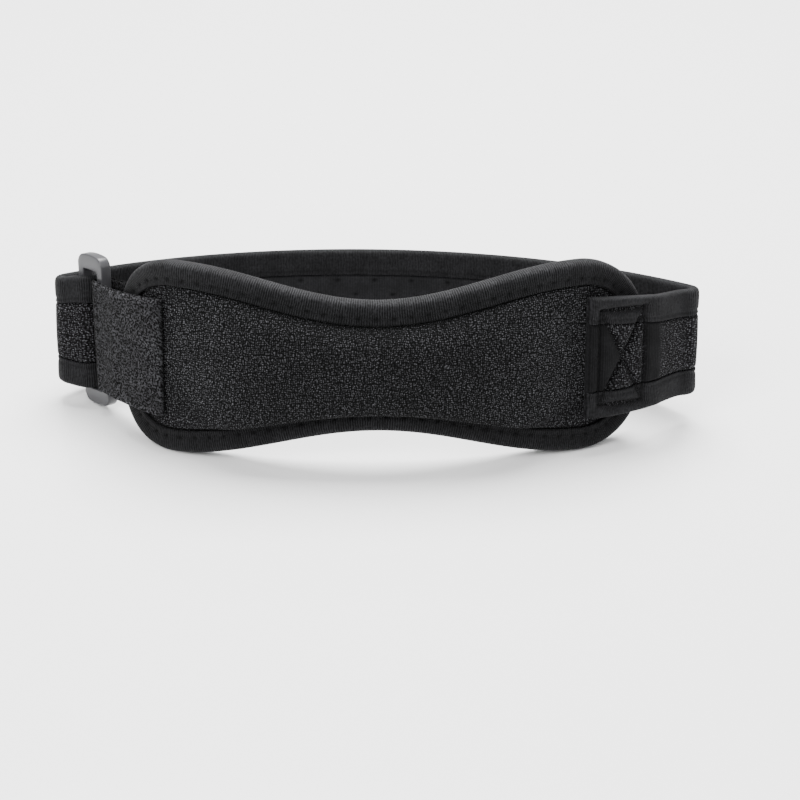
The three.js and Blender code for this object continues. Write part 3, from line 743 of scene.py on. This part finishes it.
def make_pad_binding():
    """The pad's binding: its section carried round the outline, crowned by a half sine, with a
    dimple at each stitch and a slack rise of its inner edge between stitches."""
    length, outline = pad_outline(BINDING_STEP)
    across, depth, skin = folded_section(PAD_OUT, PAD_BINDING_WIDTH, PAD_BINDING_WALL, PAD_FLAP_FOLD, 13, 15)
    pitch = stitch_pitch(length[-1])
    phase = np.abs((length[:-1, None] / pitch) % 1 - 0.5) * pitch
    dimple = bump(pitch / 2 - phase, 0.6) * bump(depth - PAD_SEAM_DEPTH, 0.6)[None]
    seam = bump(depth - PAD_SEAM_DEPTH, 0.7)[None]
    crown = np.sin(pi * np.clip(depth / PAD_SEAM_DEPTH, 0, 1))[None]
    slack = smooth((depth - PAD_SEAM_DEPTH) / 2)[None] * bump(phase, 1.5)
    rise = 0.3 * crown + 0.18 * slack - 0.06 * seam - 0.45 * dimple
    lumps = 0.12 * waves(length[:-1, None] * 1.7, depth[None] * 2, seed=8) * crown
    moved = across + skin * (rise + lumps)
    # Painted shade in each stitch dimple and along the seam, and a painted highlight along the binding's
    # folded edge.
    shade = (1 - 0.75 * dimple - 0.1 * seam) * (0.8 + 0.9 * bump(depth, 1.6)[None])
    points = laid(round_the_pad(outline, moved, depth))
    return sleeve("ribbed_pad_binding", points, length, pad_binding_cloth, closed=True,
                  shade=shade * np.ones_like(moved))


# The strap

def on_loop(s, t=0.0):
    """Places of a route as s and a point, at s along the loop and t out of it."""
    s = np.asarray(s, float)
    return s, plan(s, t)


def round_bar(bar, turn, radius):
    """Places round one of the buckle's bars: a circle's arc from its front towards the pad."""
    middle = plan(bar)
    outward = plan(bar, 1.0) - middle
    towards_pad = np.array([-outward[1], outward[0]])
    return (np.full(len(turn), bar),
            middle + radius * (np.sin(turn)[:, None] * towards_pad + np.cos(turn)[:, None] * outward))


def route_of(stretches, step):
    """Joins stretches of (s, points) into one line of even steps. Returns s, the plan's points,
    the direction out and the length."""
    s, flat = (np.concatenate(parts) for parts in zip(*stretches))
    length = arc_length(flat)
    even = np.linspace(0, length[-1], int(length[-1] / step))
    s = np.interp(even, length, s)
    flat = np.stack([np.interp(even, length, flat[:, k]) for k in range(2)], axis=1)
    way = np.gradient(flat, axis=0)
    way /= np.linalg.norm(way, axis=1, keepdims=True)
    return {"s": s, "flat": flat, "out": np.stack([way[:, 1], -way[:, 0]], axis=1), "length": even}


def lean(height):
    """How far the buckle leans to the left at a height, along its own plane."""
    outward = plan(STRAP_BAR, 1.0) - plan(STRAP_BAR)
    return RING_LEAN * height[..., None] * np.array([outward[1], -outward[0]])


def near_buckle(s):
    """0 where the strap is widest and 1 at the buckle: a smooth step."""
    return np.where(s > 0, 0.0, smooth((LEFT["widest"] + s) / (LEFT["widest"] + STRAP_BAR)))


def strap_route():
    """The strap's way: on the pad's right end, off it in a smooth step, round the back, straight to
    the buckle's left bar and half a turn round that."""
    share = np.linspace(0, 1, 120)
    off_pad = PAD_LENGTH / 2 + STRAP_DROP
    lap_start = PAD_LENGTH / 2 - STRAP_LAP
    turn = LEFT_HEADING - LEFT["fold_heading"] + pi * share
    return route_of([
        on_loop(lap_start + (off_pad - lap_start) * share, STRAP_OVER_PAD),
        on_loop(off_pad + (RIGHT["fold_start"] - off_pad) * share, STRAP_OVER_PAD * (1 - smooth(share))),
        on_loop(np.linspace(RIGHT["fold_start"], RIGHT["length"] - JUST_SHORT, 700)),
        on_loop(np.linspace(-LEFT["length"], STRAP_BAR - JUST_SHORT, 700)),
        round_bar(STRAP_BAR, turn, STRAP_WRAP),
        on_loop([STRAP_BAR - STRAP_RETURN], -2 * STRAP_WRAP),
    ], BINDING_STEP)


STRAP = strap_route()


def strap_half_height(s):
    """Half the strap's height at s: it widens smoothly to its sewn end and to the buckle."""
    lap_start = PAD_LENGTH / 2 - STRAP_LAP
    sewn = SEWN_FLARE * smooth((RIGHT["fold_start"] - s) / (RIGHT["fold_start"] - lap_start))
    flare = RING_HEIGHT / 2 - RING_END - RING_LIFT - SLOT_ROOM - STRAP_HEIGHT / 2
    return STRAP_HEIGHT / 2 + np.where(s > 0, sewn, flare * near_buckle(s))


def box_lines():
    """The sewn box's four sides and its two diagonals, as start and end in mm."""
    left, right, low, high = BOX_START, BOX_END, -BOX_HALF_HEIGHT, BOX_HALF_HEIGHT
    return [((left, high), (right, high)), ((left, low), (right, low)), ((left, low), (left, high)),
            ((right, low), (right, high)), ((left, high), (right, low)), ((left, low), (right, high))]


def sewn_end(along, z):
    """How thick the strap is at its sewn end, as a share: its end slopes down in a quarter of an
    ellipse, each line of stitches pinches it, and it puffs up between the lines."""
    near = np.min([line_distance(along, z, start, end) for start, end in box_lines()], axis=0)
    inside = smooth((BOX_END + 3 - along) / 3)
    pinch = QUILT_DEPTH * bump(near, QUILT_WIDTH) * inside
    puff = PUFF_HEIGHT * (1 - bump(near, PUFF_WIDTH)) * inside
    slope = np.sqrt(np.clip(1 - (1 - np.clip(along / END_SLOPE, 0, 1)) ** 2, 0, 1))
    # The second value is painted shade: darker along each line of stitches, in the groove that it pinches.
    return (0.2 + 0.8 * slope) * (1 + puff - pinch), 1 - 0.45 * bump(near, 0.55) * inside


def strap_points(across, z):
    """Points of the strap, across out of its route and z up. At its sewn end the thickness is
    scaled from its inner face, and the far end is rounded off."""
    along = STRAP["length"][:, None]
    scale, shade = sewn_end(along, z)
    inner = -STRAP_THICKNESS / 2
    across = inner + (across - inner) * scale
    far = np.clip((STRAP["length"][-1] - along) / 1.5, 0, 1)
    across = across * (0.3 + 0.7 * np.sqrt(1 - (1 - far) ** 2))
    flat = STRAP["flat"][:, None] + STRAP["out"][:, None] * across[..., None]
    flat = flat + lean(near_buckle(STRAP["s"])[:, None] * z)
    return laid(np.concatenate([flat, z[..., None]], axis=-1)), shade


def pits(along, under_edge):
    """The pits of the strap's inner face, in rows at PIT_DEPTHS under its upper edge: 1 in the
    middle of each pit and 0 between them. Every other row is shifted half a pitch."""
    made = 0
    for number, depth in enumerate(PIT_DEPTHS):
        place = (along + PIT_PITCH / 2 * (number % 2)) % PIT_PITCH - PIT_PITCH / 2
        made = made + bump(np.hypot(place, (under_edge - depth) * 1.3), PIT_RADIUS)
    return made


def pressed_flat_and_shadowed(along, z):
    """1 where the sewing presses the loops of the strap's front face flat: its end slope, the dip past
    the box and the box's left triangle, with soft edges. It also darkens the front face there, a
    painted shadow in the dip and on the end slope."""
    slope = smooth((BOX_START - along) / 0.8)
    dip = smooth((along - BOX_END) / 0.6) * smooth((BOX_END + DIP_LENGTH - along) / 2.5)
    across_box = (along - BOX_START) / (BOX_END - BOX_START)
    triangle = smooth((1 - 2 * across_box - np.abs(z) / BOX_HALF_HEIGHT) / 0.15)
    return np.clip(slope + dip + triangle, 0, 1)


def make_strap_band():
    """The strap's band between its bindings. Its faces are crowned by a parabola, round off to
    the seams and run on as a thin tab under the bindings."""
    half = strap_half_height(STRAP["s"])[:, None]
    band = half - STRAP_BINDING_WIDTH - 0.1
    edge = half - EDGE_INSET
    thick = STRAP_THICKNESS / 2
    thin = thick - STRAP_BINDING_WALL - GAP
    rows = 49
    share = np.linspace(-1, 1, rows)[None]
    z = band * share
    drop = np.clip((np.abs(z) - band + 0.9) / 0.9, 0, 1)
    face = thin + (thick - thin) * np.sqrt(1 - drop ** 2) + 0.18 * (1 - share ** 2)
    along = STRAP["length"][:, None]
    holes = pits(along, half - z[:, ::-1])
    column = np.ones_like(half)
    across = np.concatenate([face, column * thin, column * -thin, -(face[:, ::-1] - PIT_SINK * holes),
                             column * -thin, column * thin], axis=1)
    height = np.concatenate([z, edge, edge, z[:, ::-1], -edge, -edge], axis=1)
    points, shade = strap_points(across, height)
    pressed_and_shadowed = pressed_flat_and_shadowed(along, z)
    back = np.ones_like(z)
    inner = np.concatenate([pressed_and_shadowed, 0 * column, column, back, column, 0 * column], axis=1)
    # Painted shade: the front face is darker where the sewing presses it flat, a painted shadow in the dip
    # past the box and on the end slope, and the back face is painted darker in its pits. Elsewhere the front
    # is 1.3 times lighter.
    painted_shade_and_tone = np.concatenate([1.3 - 0.8 * pressed_and_shadowed, column, column, 1 - 0.8 * np.clip(holes, 0, 1),
                           column, column], axis=1)
    return sleeve("strap_band", points, STRAP["length"], knit_cloth, zero=rows // 2,
                  shade=shade * painted_shade_and_tone, inner=inner)


def make_strap_binding(name, up):
    """A strap binding: the folded section carried along the route, crowned, with a seam groove."""
    half = strap_half_height(STRAP["s"])[:, None]
    across, depth, skin = folded_section(STRAP_THICKNESS / 2, STRAP_BINDING_WIDTH, STRAP_BINDING_WALL,
                                         STRAP_FLAP_FOLD, 13, 11)
    along = STRAP["length"][:, None]
    crown = np.sin(pi * np.clip(depth / STRAP_SEAM_DEPTH, 0, 1))[None]
    seam = bump(depth - STRAP_SEAM_DEPTH, 0.5)[None]
    ripple = 0.1 * waves(along * 1.3, depth[None] * 2, seed=11 + up)
    rise = 0.12 * crown - 0.22 * seam + ripple * crown
    points, shade = strap_points(across + skin * rise, up * (half - depth))
    # Painted shade along the seam groove, on top of the sewn end's painted shade.
    return sleeve(name, points, STRAP["length"], strap_binding_cloth, shade=shade * (1 - 0.3 * seam))


# The tape

def make_tape():
    """The pile tape: from the pad's front in a smooth step to the buckle's right bar, half a circle
    round it and back to the pad's inner face. Its section is a flat strip with round edges."""
    pad_end = -PAD_LENGTH / 2
    share = np.linspace(0, 1, 120)
    down = TAPE_WRAP + (TAPE_OVER_PAD - TAPE_WRAP) * smooth(1 - share)
    route = route_of([
        on_loop(pad_end + TAPE_LAP * (1 - share), TAPE_OVER_PAD),
        on_loop(pad_end + (TAPE_BAR - pad_end) * share, down),
        round_bar(TAPE_BAR, -pi * share, TAPE_WRAP),
        on_loop(TAPE_BAR + (pad_end - TAPE_BAR) * share, -down[::-1]),
        on_loop(pad_end + TAPE_INNER_LAP * share, -TAPE_OVER_PAD),
    ], TAPE_STEP)
    along = route["length"][:, None]
    half = TAPE_HEIGHT / 2 + TAPE_FLARE * smooth((PAD_LENGTH / 2 + route["s"]) / TAPE_LAP)[:, None]
    rows = 81
    z = half * np.linspace(-1, 1, rows)[None]
    thick = TAPE_THICKNESS / 2
    edge = np.sqrt(1 - np.clip((np.abs(z) - half + thick) / thick, 0, 1) ** 2)
    ends = [np.clip(gap / thick, 0, 1) for gap in (along, route["length"][-1] - along)]
    round_off = 0.25 + 0.75 * np.sqrt(1 - (1 - ends[0]) ** 2) * np.sqrt(1 - (1 - ends[1]) ** 2)
    crease = 0.5 * bump(along - TAPE_LAP - 1.5, 1.6) + 0.22 * waves(along * 2.2, z * 1.4, seed=3)
    corner = sum(0.4 * bump(line_distance(along, z, a, b), 0.7) for a, b in (
        ((0.8, 17.5), (4.2, 11.5)), ((0.8, -17.5), (6.0, -10.5))))
    selvage = smooth((np.abs(z) - half + 2.2) / 0.8)
    outer = thick * edge * round_off - (crease + corner) * edge - 0.2 * selvage
    inner = -thick * edge * round_off - np.maximum(crease, 0) * edge * 0.6
    across = np.concatenate([outer, inner[:, ::-1]], axis=1)
    height = np.concatenate([z, z[:, ::-1]], axis=1)
    flat = route["flat"][:, None] + route["out"][:, None] * across[..., None]
    off_pad = smooth((PAD_LENGTH / 2 + route["s"]) / (PAD_LENGTH / 2 + TAPE_BAR))[:, None]
    flat = flat + lean(off_pad * height)
    points = laid(np.concatenate([flat, height[..., None]], axis=-1))
    # Painted shade in the corner creases and a painted shadow at the tape's cut end on the pad; the band
    # along each edge is lighter, and past the bar the tape's other end is darker.
    front = (1 - 0.5 * np.clip(corner / 0.4, 0, 1)) * (1 + 0.5 * selvage) * (1 - 0.5 * bump(along, 0.6))
    past_bar = smooth((along - TAPE_LAP - (pad_end - TAPE_BAR) - 1) / 3)
    front = front * (1 - 0.7 * past_bar)
    shade = np.concatenate([front, front[:, ::-1]], axis=1)
    return sleeve("closure_pile_tape", points, route["length"], pile_cloth, zero=rows // 2, shade=shade)


# The buckle

def rounded(width, height, corner, crown):
    """Stations round an upright rectangle with round corners. Its ends are arched: they rise by
    crown times one less the square of the share across."""
    turn = np.linspace(0, pi / 2, 13)
    side, top = width / 2 - corner, height / 2 - crown - corner
    x = np.concatenate([np.full(14, width / 2), side + corner * np.cos(turn), np.linspace(side, 0, 9)[1:]])
    z = np.concatenate([np.linspace(0, top, 15)[:-1], top + corner * np.sin(turn), np.full(8, top + corner)])
    z = z + crown * (1 - (2 * x / width) ** 2) * smooth((z - top) / corner)
    x = np.concatenate([x, -x[-2::-1], -x[1:], x[-2:0:-1]])
    z = np.concatenate([z, z[-2::-1], -z[1:], -z[-2:0:-1]])
    return np.stack([x, z], axis=1)


def make_ring():
    """The ring buckle: between the outline and the slot lies a bar whose section is a rectangle
    with round corners. It is carried round the ring."""
    outline = rounded(RING_WIDTH, RING_HEIGHT, RING_CORNER, RING_CROWN * 0.7)
    slot = rounded(RING_WIDTH - 2 * RING_BAR, RING_HEIGHT - 2 * RING_END, RING_BEVEL, 0)
    way = outline - slot
    width = np.linalg.norm(way, axis=1, keepdims=True)
    turn = np.linspace(0, pi / 2, 6)
    bevel = RING_EDGE_ROUND
    level = RING_THICKNESS / 2 - bevel
    from_outer = -bevel + bevel * np.cos(turn)
    up = level + bevel * np.sin(turn)
    outer = np.concatenate([np.ones(6), np.zeros(6), np.zeros(6), np.ones(6)])
    offset = np.concatenate([from_outer, -from_outer[::-1], -from_outer, from_outer[::-1]])
    through = np.concatenate([up, up[::-1], -up, -up[::-1]])
    distance = outer * width + offset
    flat = slot[:, None] + (way / width)[:, None] * distance[..., None]
    centre = plan((STRAP_BAR + TAPE_BAR) / 2)
    outward = plan((STRAP_BAR + TAPE_BAR) / 2, 1.0) - centre
    height = flat[..., 1:] + RING_LIFT
    place = (centre + np.array([-outward[1], outward[0]]) * flat[..., :1] + lean(height[..., 0])
             + outward * np.broadcast_to(through, distance.shape)[..., None])
    points = laid(np.concatenate([place, height], axis=-1))
    length = arc_length(np.concatenate([outline, outline[:1]]))
    return sleeve("ring_buckle", points, length, plastic_skin, closed=True)


# The threads

def make_threads(name, starts, ends):
    """Stitches as one mesh: from each start to each end a thread whose radius is a half ellipse
    of the share along it, kept above the ground."""
    share = np.linspace(0.04, 0.96, THREAD_SECTIONS)
    turn = np.linspace(0, 2 * pi, THREAD_SIDES + 1)[:-1]
    way = ends - starts
    way_unit = way / np.linalg.norm(way, axis=1, keepdims=True)
    first = np.cross(way_unit, (0.3, 0.2, 0.93))
    first /= np.linalg.norm(first, axis=1, keepdims=True)
    second = np.cross(way_unit, first)
    radius = THREAD_RADIUS * MM * np.sqrt(1 - (2 * share - 1) ** 2)
    line = starts[:, None] + way[:, None] * share[:, None]
    round_it = (first[:, None] * np.cos(turn)[:, None] + second[:, None] * np.sin(turn)[:, None])
    points = line[:, :, None] + round_it[:, None] * radius[:, None, None]
    one = np.arange(THREAD_SECTIONS * THREAD_SIDES).reshape(THREAD_SECTIONS, THREAD_SIDES)
    first_of_each = (np.arange(len(starts)) * one.size)[:, None, None]
    caps = (np.stack([one[0, ::-1], one[-1]]) + first_of_each).reshape(-1, THREAD_SIDES)
    one = np.concatenate([one, one[:, :1]], axis=1)
    sides = (corners_of(one).reshape(-1, 4)[:, ::-1] + first_of_each).reshape(-1, 4)
    corners = np.concatenate([sides.ravel(), caps.ravel()])
    vertices = points.reshape(-1, 3)
    vertices[:, 2] = np.maximum(vertices[:, 2], 0)
    cloth = np.stack([corners * 0.37, corners * 0.11], axis=1)
    return make_mesh(name, vertices, corners, np.array([4] * len(sides) + [THREAD_SIDES] * len(caps)), cloth,
                     thread_cloth, {"shade": np.ones(len(vertices))})


def pad_threads():
    """Where the pad binding's stitches start and end, on both faces, in its seam."""
    length, outline = pad_outline(BINDING_STEP)
    pitch = stitch_pitch(length[-1])
    starts, ends = [], []
    for face in (1, -1):
        for target, share in ((starts, 0.14), (ends, 0.86)):
            at = (np.arange(round(length[-1] / pitch)) + share) * pitch
            here = np.stack([np.interp(at, length[:-1], row) for row in outline])
            target.append(round_the_pad(here, face * (PAD_OUT - THREAD_SINK), PAD_SEAM_DEPTH)[:, 0])
    return np.concatenate(starts), np.concatenate(ends)


def box_threads():
    """Where the sewn box's stitches start and end, in the lines that they pinch."""
    starts, ends = [], []
    for start, end in box_lines():
        start, end = np.array(start), np.array(end)
        count = int(np.linalg.norm(end - start) / BOX_STITCH)
        share = np.arange(count) / count
        for target, part in ((starts, 0.12), (ends, 0.88)):
            spot = start + (end - start) * (share + part / count)[:, None]
            thickness, _ = sewn_end(spot[:, 0], spot[:, 1])
            flat = [np.interp(spot[:, 0], STRAP["length"], STRAP["flat"][:, k]) for k in range(2)]
            out = [np.interp(spot[:, 0], STRAP["length"], STRAP["out"][:, k]) for k in range(2)]
            rise = STRAP_THICKNESS * (thickness - 0.5) + THREAD_LIFT
            target.append(np.stack([flat[0] + out[0] * rise, flat[1] + out[1] * rise, spot[:, 1]], axis=1))
    return np.concatenate(starts), np.concatenate(ends)


# The whole part

cover = make_cover()
lining = make_inner_panel()
pad_binding = make_pad_binding()
strap_band = make_strap_band()
top_binding = make_strap_binding("strap_top_binding", 1)
bottom_binding = make_strap_binding("strap_bottom_binding", -1)
tape = make_tape()
ring = make_ring()
for piece, node, slot in (
        (cover, "front_cover", "cover_knit"),
        (lining, "inner_panel", "lining_fabric"),
        (pad_binding, "pad_binding", "pad_binding_fabric"),
        (strap_band, "strap_core", "strap_knit"),
        (top_binding, "strap_binding_top", "strap_binding_fabric"),
        (bottom_binding, "strap_binding_bottom", "strap_binding_fabric"),
        (tape, "closure_tape", "pile_tape"),
        (ring, "buckle_ring", "buckle_plastic")):
    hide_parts(node)

pad_starts, pad_ends = pad_threads()
box_starts, box_ends = box_threads()
make_threads("pad_stitches", laid(pad_starts), laid(pad_ends))
make_threads("sewn_box_stitches", laid(box_starts), laid(box_ends))


# The floor

FLOOR_REACH = 4.0
FLOOR_GREY = 0.86
FLOOR_ROUGHNESS = 0.12


def make_floor():
    """A flat pale floor: one square, wide enough for every view."""
    mesh = bpy.data.meshes.new("floor")
    ways = ((-1, -1), (1, -1), (1, 1), (-1, 1))
    mesh.from_pydata([(x * FLOOR_REACH, y * FLOOR_REACH, 0) for x, y in ways], [], [(0, 1, 2, 3)])
    material = bpy.data.materials.new("pale_floor")
    material.use_nodes = True
    shader = material.node_tree.nodes["Principled BSDF"]
    shader.inputs["Base Color"].default_value = (FLOOR_GREY, FLOOR_GREY, FLOOR_GREY, 1)
    shader.inputs["Roughness"].default_value = FLOOR_ROUGHNESS
    mesh.materials.append(material)
    floor = bpy.data.objects.new("floor", mesh)
    bpy.context.scene.collection.objects.link(floor)


make_floor()
